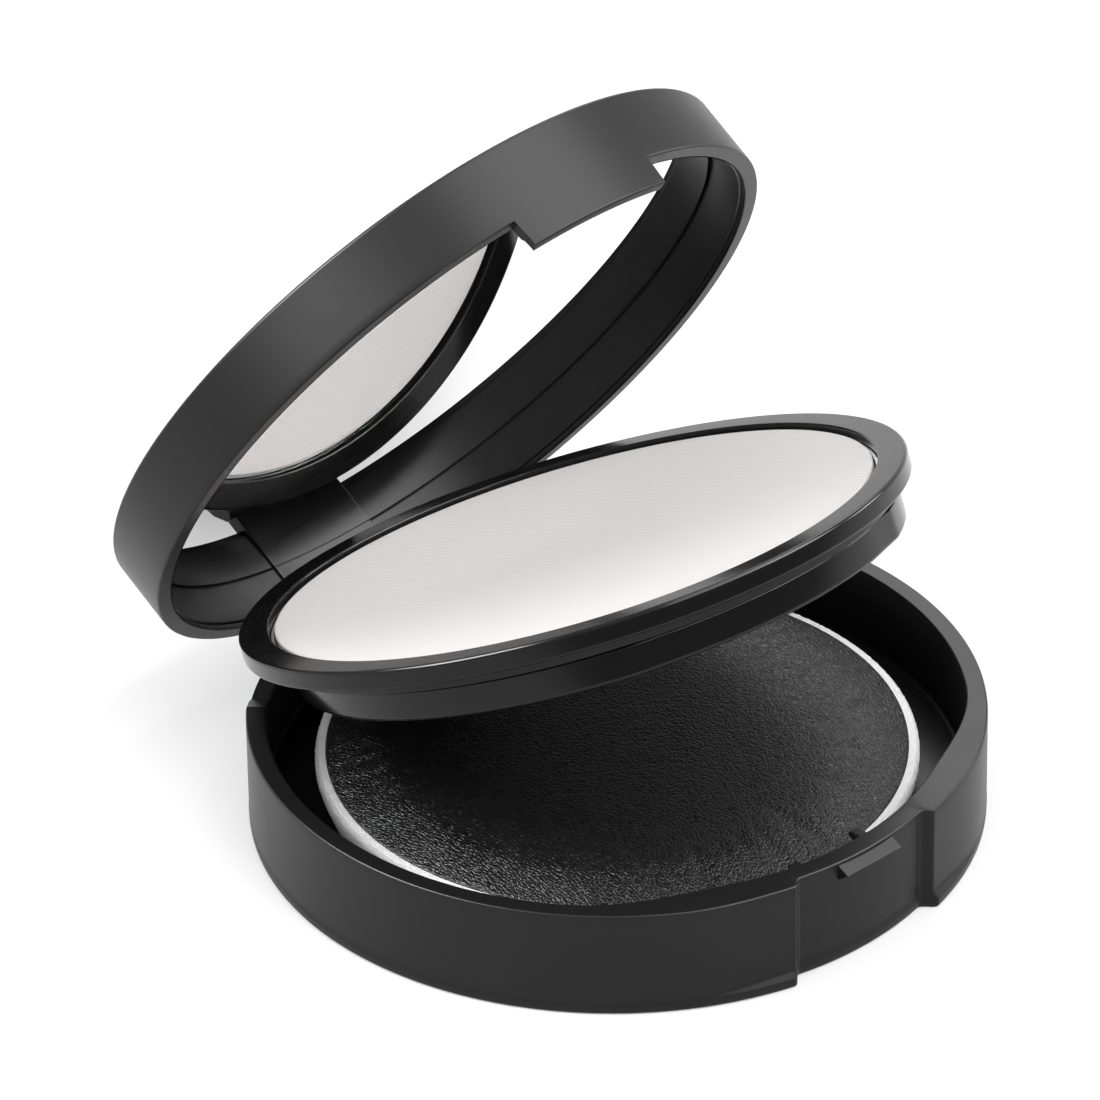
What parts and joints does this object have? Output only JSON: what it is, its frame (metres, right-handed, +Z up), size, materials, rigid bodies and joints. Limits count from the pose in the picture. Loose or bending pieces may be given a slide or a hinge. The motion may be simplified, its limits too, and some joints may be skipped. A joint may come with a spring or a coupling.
{
  "type": "two-deck powder compact",
  "caption": "Round cosmetic compact with a puff well in its base, a hinged middle tray of pressed powder and a hinged mirror lid that clips over a catch bar at the front.",
  "frame": {"origin": "centre of the underside of the base, where the closed compact's round axis meets the table", "axes": "+Z up out of the base, -Y towards the thumb recess and catch, +Y towards the hinge, +X to the right seen from the front"},
  "size_m": [0.078, 0.088, 0.0774],
  "materials": {
    "shell_plastic": "satin moulded black",
    "tray_plastic": "polished black",
    "frame_plastic": "satin moulded black",
    "mirror": "silvered glass",
    "pin_steel": "drawn wire",
    "pan_aluminium": "pressed sheet",
    "adhesive": "matt",
    "label_film": "matt film",
    "powder": "pressed powder with a woven imprint",
    "leather": "pebbled grain",
    "foam": "open foam",
    "velour": "short white pile"
  },
  "bodies": {
    "base": {"base_shell": "shell_plastic", "base_label": "label_film", "hinge_pin_left": "pin_steel", "hinge_pin_right": "pin_steel", "puff_velour_face": "velour", "puff_foam_core": "foam", "puff_leather_cover": "leather"},
    "tray": {"tray_ring": "tray_plastic", "tray_cup": "tray_plastic", "pan_glue": "adhesive", "powder_pan": "pan_aluminium", "powder_cake": "powder"},
    "lid": {"lid_shell": "shell_plastic", "mirror_frame": "frame_plastic", "mirror_tape": "adhesive", "mirror_glass": "mirror"}
  },
  "joints": [
    {"name": "tray_hinge", "type": "hinge", "parent": "base", "child": "tray", "pos_m": [0, 0.0355, 0.0059], "axis": [-1, 0, 0], "range_deg": [-22.9, 7.1]},
    {"name": "lid_hinge", "type": "hinge", "parent": "tray", "child": "lid", "pos_m": [0, 0.0355, 0.0059], "axis": [-1, 0, 0], "range_deg": [-37, 31]}
  ]
}
